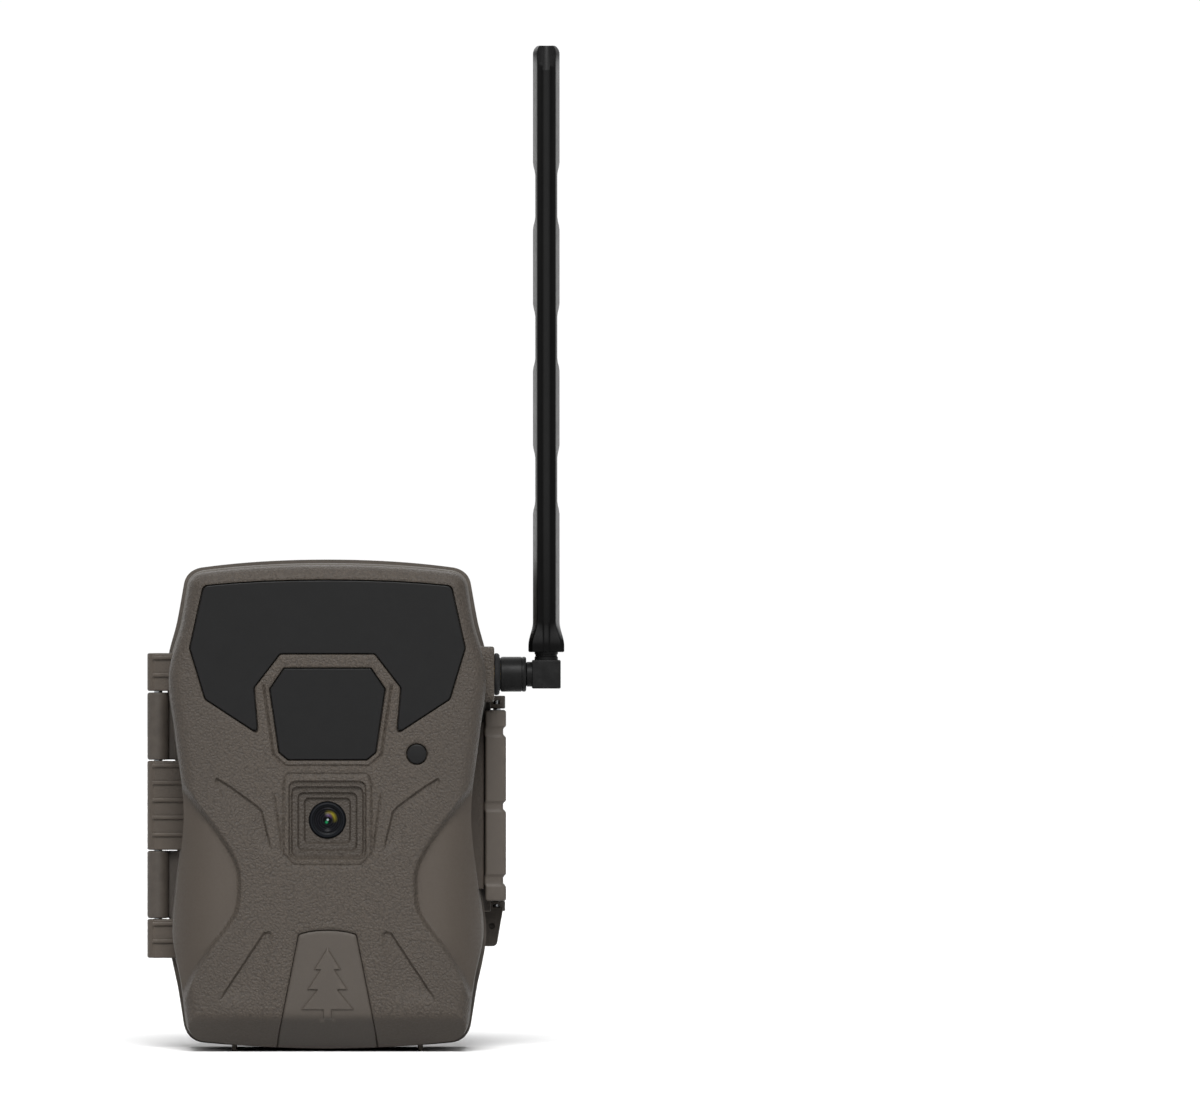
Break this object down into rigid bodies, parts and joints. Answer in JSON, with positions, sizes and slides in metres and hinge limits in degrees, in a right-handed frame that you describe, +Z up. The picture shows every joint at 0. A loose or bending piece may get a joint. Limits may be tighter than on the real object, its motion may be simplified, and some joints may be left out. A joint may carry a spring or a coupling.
{
  "type": "trail camera",
  "caption": "Cellular trail camera: a hinged electronics door latched to a battery housing that straps to a tree, with a swivelling whip antenna.",
  "frame": {"origin": "on the flat tripod pad under the rear housing, in the middle of its width and just in front of the tripod insert", "axes": "the front faces -Y, +Z is up towards the antenna's tip, +X is the latch and antenna side"},
  "size_m": [0.1299, 0.0748, 0.3128],
  "materials": {
    "textured_shell": "leather-like moulded grain, matt",
    "smooth_shell": "smooth moulded, satin",
    "smoked_window": "infrared-pass black, polished",
    "black_plastic": "fine spark-eroded matt",
    "grey_plastic": "fine moulded grain",
    "rubber": "soft matt",
    "lens_glass": "polished, coated",
    "steel": "plated",
    "brass": "machined",
    "circuit_board": "green solder mask",
    "cell_jacket": "printed sleeve, satin"
  },
  "bodies": {
    "housing": {"rear_housing": "smooth_shell", "door_seal": "rubber", "battery_tray": "grey_plastic", "aa_cell_1": "cell_jacket", "aa_cell_2": "cell_jacket", "aa_cell_3": "cell_jacket", "aa_cell_4": "cell_jacket", "aa_cell_5": "cell_jacket", "aa_cell_6": "cell_jacket", "aa_cell_7": "cell_jacket", "aa_cell_8": "cell_jacket", "contact_lower_bottom": "steel", "contact_lower_top": "steel", "contact_upper_bottom": "steel", "contact_upper_top": "steel", "tripod_insert": "brass", "dc_jack": "black_plastic", "hinge_pin": "steel", "latch_pin": "steel"},
    "dc_flap": {"dc_cover": "rubber"},
    "latch": {"latch_lever": "smooth_shell"},
    "door": {"front_cover": "textured_shell", "led_window": "smoked_window", "pir_window": "smoked_window", "sensor_window": "smoked_window", "badge_plate": "smooth_shell", "lens_ring": "black_plastic", "lens_glass": "lens_glass", "lens_barrel": "black_plastic", "lens_holder": "black_plastic", "image_sensor": "black_plastic", "image_board": "circuit_board", "led_board": "circuit_board", "main_board": "circuit_board", "pir_sensor": "steel", "cell_modem": "steel", "inner_panel": "grey_plastic", "screen_window": "lens_glass", "screen_module": "black_plastic", "keypad_board": "circuit_board", "card_socket": "steel", "panel_screw_1": "steel", "panel_screw_2": "steel", "panel_screw_3": "steel", "panel_screw_4": "steel", "antenna_port": "brass", "antenna_seal_ring": "rubber"},
    "shutter": {"ir_cut_shutter": "lens_glass"},
    "card": {"memory_card": "black_plastic"},
    "switch": {"power_switch": "black_plastic"},
    "button_ok_key": {"button_ok": "rubber"},
    "button_up_key": {"button_up": "rubber"},
    "button_down_key": {"button_down": "rubber"},
    "button_left_key": {"button_left": "rubber"},
    "button_right_key": {"button_right": "rubber"},
    "nut": {"antenna_nut": "black_plastic"},
    "antenna": {"antenna_elbow": "black_plastic", "antenna_mast": "black_plastic"}
  },
  "joints": [
    {"name": "door_hinge", "type": "hinge", "parent": "housing", "child": "door", "pos_m": [-0.0528, -0.01, 0.076], "axis": [0, 0, -1], "range_deg": [0, 120]},
    {"name": "latch_pivot", "type": "hinge", "parent": "housing", "child": "latch", "pos_m": [0.053, 0.001, 0.076], "axis": [0, 0, 1], "range_deg": [0, 100]},
    {"name": "dc_cover_hinge", "type": "hinge", "parent": "housing", "child": "dc_flap", "pos_m": [-0.0465, 0.006, 0.0698], "axis": [0, -1, 0], "range_deg": [0, 110]},
    {"name": "antenna_swivel", "type": "hinge", "parent": "door", "child": "antenna", "pos_m": [0.06815, -0.022, 0.1171], "axis": [1, 0, 0], "range_deg": [-90, 90]},
    {"name": "antenna_nut_turn", "type": "hinge", "parent": "door", "child": "nut", "pos_m": [0.0579, -0.022, 0.1171], "axis": [1, 0, 0], "continuous": true},
    {"name": "shutter_slide", "type": "slide", "parent": "door", "child": "shutter", "axis": [-1, 0, 0], "range_m": [0, 0.008]},
    {"name": "card_slide", "type": "slide", "parent": "door", "child": "card", "axis": [0, 0, -1], "range_m": [0, 0.012]},
    {"name": "power_switch_slide", "type": "slide", "parent": "door", "child": "switch", "axis": [1, 0, 0], "range_m": [0, 0.0072]},
    {"name": "button_ok_press", "type": "slide", "parent": "door", "child": "button_ok_key", "axis": [0, -1, 0], "range_m": [0, 0.0008], "stiffness_N_per_m": 800},
    {"name": "button_up_press", "type": "slide", "parent": "door", "child": "button_up_key", "axis": [0, -1, 0], "range_m": [0, 0.0008], "stiffness_N_per_m": 800},
    {"name": "button_down_press", "type": "slide", "parent": "door", "child": "button_down_key", "axis": [0, -1, 0], "range_m": [0, 0.0008], "stiffness_N_per_m": 800},
    {"name": "button_left_press", "type": "slide", "parent": "door", "child": "button_left_key", "axis": [0, -1, 0], "range_m": [0, 0.0008], "stiffness_N_per_m": 800},
    {"name": "button_right_press", "type": "slide", "parent": "door", "child": "button_right_key", "axis": [0, -1, 0], "range_m": [0, 0.0008], "stiffness_N_per_m": 800}
  ]
}
